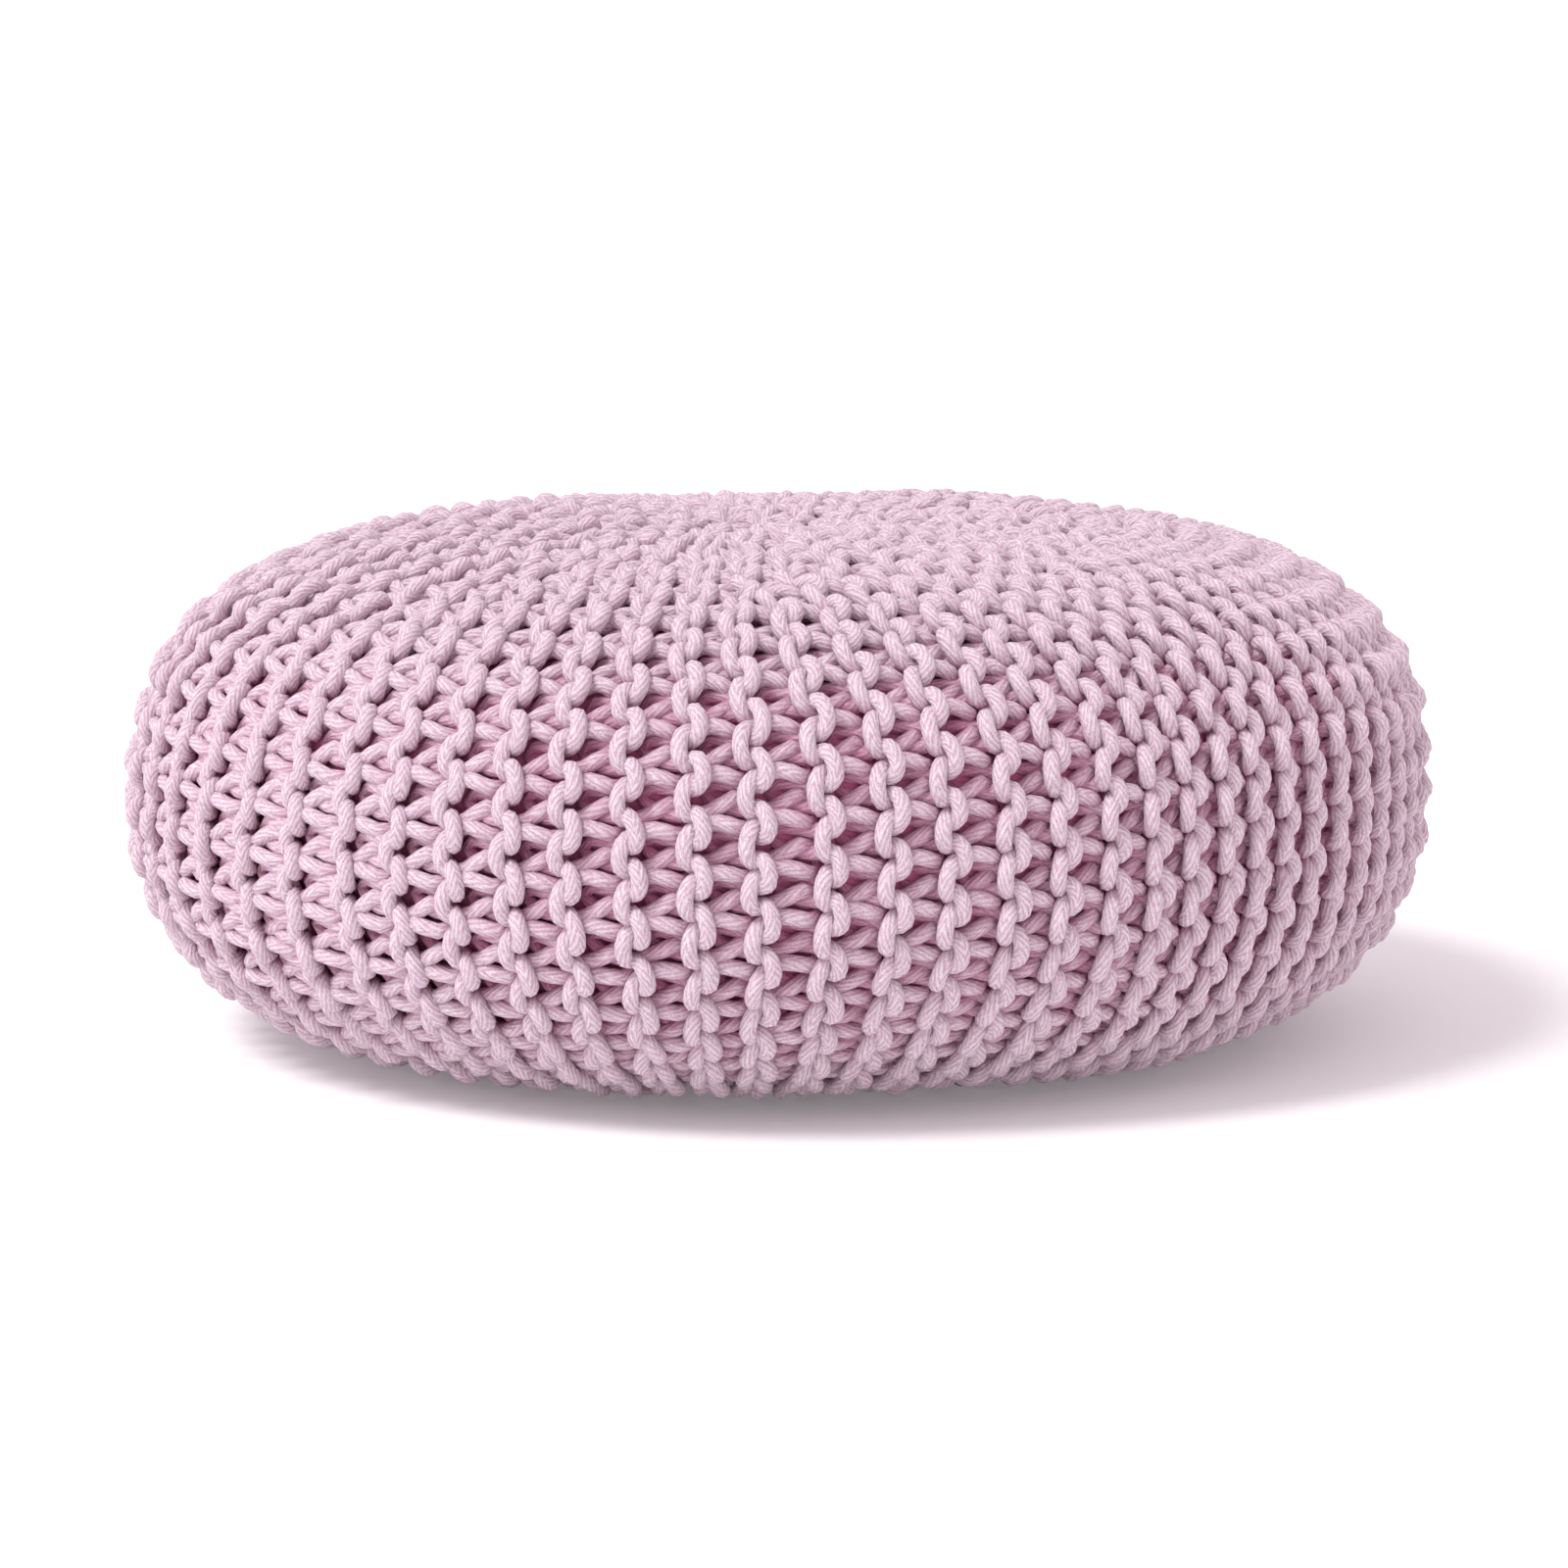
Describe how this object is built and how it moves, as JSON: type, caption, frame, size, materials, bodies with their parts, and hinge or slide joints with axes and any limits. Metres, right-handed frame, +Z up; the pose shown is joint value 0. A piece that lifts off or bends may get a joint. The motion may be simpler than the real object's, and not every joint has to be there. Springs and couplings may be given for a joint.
{
  "type": "knitted pouf",
  "caption": "Low round floor pouf with a chunky knitted cotton cover whose ridges run from crown to base, filled firm, with a flat base.",
  "frame": {"origin": "centre of the flat resting face", "axes": "+Z up through the crown; -Y towards the side that shows; +X to the right of it"},
  "size_m": [0.7022, 0.7004, 0.2795],
  "materials": {
    "cotton_cord": "matte, twisted cotton cord in garter stitch"
  },
  "bodies": {
    "root": {"knitted_pouf": "cotton_cord"}
  },
  "joints": []
}
